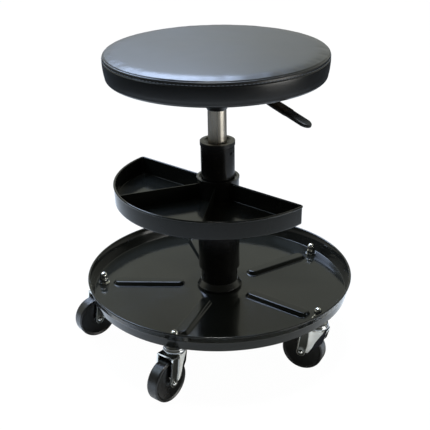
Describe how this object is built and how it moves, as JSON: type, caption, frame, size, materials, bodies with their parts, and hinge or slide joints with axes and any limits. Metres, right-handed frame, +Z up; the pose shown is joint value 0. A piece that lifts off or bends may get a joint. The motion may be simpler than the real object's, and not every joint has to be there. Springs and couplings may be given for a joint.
{
  "type": "creeper seat",
  "caption": "Rolling mechanic stool with a round padded seat on a gas lift, a swivelling half-round tray and a round caster base tray.",
  "frame": {"origin": "on the floor that the wheels stand on, on the column axis", "axes": "+Z up the column through the middle of the seat; +X to the right and -Y towards the viewer of the picture"},
  "size_m": [0.4372, 0.4231, 0.4658],
  "materials": {
    "cushion_vinyl": "smooth vinyl cover over foam, satin",
    "plywood": "raw birch plywood",
    "zinc_steel": "zinc plated",
    "black_steel": "black powder coat, satin",
    "tray_enamel": "black stove enamel, glossy",
    "lever_black": "black, satin",
    "black_plastic": "moulded black plastic",
    "cylinder_steel": "drawn and plated steel tube",
    "rod_chrome": "ground and hard chromed",
    "valve_brass": "turned brass",
    "lift_alloy": "turned aluminium",
    "seal_rubber": "black rubber",
    "washer_nylon": "natural nylon",
    "caster_chrome": "bright chrome plate",
    "bush_steel": "plain steel tube",
    "wheel_black": "moulded black polyurethane and rubber, satin"
  },
  "bodies": {
    "base": {"lower_tray": "tray_enamel", "post_foot_ring": "black_steel", "foot_screws": "zinc_steel", "post_tube": "black_steel", "sleeve_washer": "washer_nylon", "column_tube": "black_steel", "column_end_disc": "black_steel", "guide_bush": "black_plastic", "lower_race": "zinc_steel", "thrust_balls": "zinc_steel", "caster_stems": "caster_chrome", "caster_swivel_balls": "zinc_steel", "caster_nuts": "caster_chrome", "caster_washers": "caster_chrome"},
    "rod": {"piston_rod": "rod_chrome", "rod_piston": "lift_alloy", "upper_race": "zinc_steel", "rod_bumper": "seal_rubber", "rod_clip": "zinc_steel"},
    "seat": {"seat_cushion": "cushion_vinyl", "seat_board": "plywood", "seat_tee_nuts": "zinc_steel", "cover_staples": "zinc_steel", "seat_bolts": "zinc_steel", "mount_plate": "black_steel", "mechanism_housing": "black_steel", "cylinder_socket": "black_steel", "lever_pin": "zinc_steel", "gas_cylinder": "cylinder_steel", "valve_block": "valve_brass", "rod_guide": "lift_alloy", "rod_seal": "seal_rubber"},
    "lever": {"height_lever": "lever_black", "lever_grip": "black_plastic"},
    "button": {"release_button": "rod_chrome"},
    "mid_tray": {"mid_tray_pan": "tray_enamel", "mid_tray_divider_1": "tray_enamel", "mid_tray_divider_2": "tray_enamel", "mid_tray_sleeve": "black_steel"},
    "fork_1": {"caster_fork_1": "caster_chrome", "caster_axle_1": "caster_chrome", "axle_bush_1": "bush_steel"},
    "wheel_1": {"caster_wheel_1": "wheel_black"},
    "fork_2": {"caster_fork_2": "caster_chrome", "caster_axle_2": "caster_chrome", "axle_bush_2": "bush_steel"},
    "wheel_2": {"caster_wheel_2": "wheel_black"},
    "fork_3": {"caster_fork_3": "caster_chrome", "caster_axle_3": "caster_chrome", "axle_bush_3": "bush_steel"},
    "wheel_3": {"caster_wheel_3": "wheel_black"},
    "fork_4": {"caster_fork_4": "caster_chrome", "caster_axle_4": "caster_chrome", "axle_bush_4": "bush_steel"},
    "wheel_4": {"caster_wheel_4": "wheel_black"},
    "fork_5": {"caster_fork_5": "caster_chrome", "caster_axle_5": "caster_chrome", "axle_bush_5": "bush_steel"},
    "wheel_5": {"caster_wheel_5": "wheel_black"}
  },
  "joints": [
    {"name": "seat_swivel", "type": "hinge", "parent": "base", "child": "rod", "pos_m": [0, 0, 0.2], "axis": [0, 0, 1], "continuous": true},
    {"name": "seat_lift", "type": "slide", "parent": "rod", "child": "seat", "axis": [0, 0, 1], "range_m": [-0.04, 0.08]},
    {"name": "lever_lift", "type": "hinge", "parent": "seat", "child": "lever", "pos_m": [0.01414, -0.01685, 0.41179], "axis": [-0.766, -0.6428, 0], "range_deg": [0, 7]},
    {"name": "button_press", "type": "slide", "parent": "seat", "child": "button", "axis": [0, 0, -1], "range_m": [0, 0.003], "stiffness_N_per_m": 1500},
    {"name": "mid_tray_swivel", "type": "hinge", "parent": "base", "child": "mid_tray", "pos_m": [0, 0, 0.2], "axis": [0, 0, 1], "continuous": true},
    {"name": "caster_1_swivel", "type": "hinge", "parent": "base", "child": "fork_1", "pos_m": [-0.18435, 0.0095, 0.07], "axis": [0, 0, 1], "continuous": true},
    {"name": "wheel_1_spin", "type": "hinge", "parent": "fork_1", "child": "wheel_1", "pos_m": [-0.20073, -0.00197, 0.03175], "axis": [-0.5736, 0.8192, 0], "continuous": true},
    {"name": "caster_2_swivel", "type": "hinge", "parent": "base", "child": "fork_2", "pos_m": [-0.066, -0.17239, 0.07], "axis": [0, 0, 1], "continuous": true},
    {"name": "wheel_2_spin", "type": "hinge", "parent": "fork_2", "child": "wheel_2", "pos_m": [-0.07886, -0.18771, 0.03175], "axis": [-0.766, 0.6428, 0], "continuous": true},
    {"name": "caster_3_swivel", "type": "hinge", "parent": "base", "child": "fork_3", "pos_m": [0.14355, -0.11604, 0.07], "axis": [0, 0, 1], "continuous": true},
    {"name": "wheel_3_spin", "type": "hinge", "parent": "fork_3", "child": "wheel_3", "pos_m": [0.12558, -0.10727, 0.03175], "axis": [0.4384, 0.8988, 0], "continuous": true},
    {"name": "caster_4_swivel", "type": "hinge", "parent": "base", "child": "fork_4", "pos_m": [0.15472, 0.10067, 0.07], "axis": [0, 0, 1], "continuous": true},
    {"name": "wheel_4_spin", "type": "hinge", "parent": "fork_4", "child": "wheel_4", "pos_m": [0.1366, 0.09222, 0.03175], "axis": [-0.4226, 0.9063, 0], "continuous": true},
    {"name": "caster_5_swivel", "type": "hinge", "parent": "base", "child": "fork_5", "pos_m": [-0.04793, 0.17826, 0.07], "axis": [0, 0, 1], "continuous": true},
    {"name": "wheel_5_spin", "type": "hinge", "parent": "fork_5", "child": "wheel_5", "pos_m": [-0.06079, 0.16294, 0.03175], "axis": [-0.766, 0.6428, 0], "continuous": true}
  ],
  "couplings": [
    {"joint": "button_press", "follows": "lever_lift", "m_per_rad": 0.0224}
  ]
}
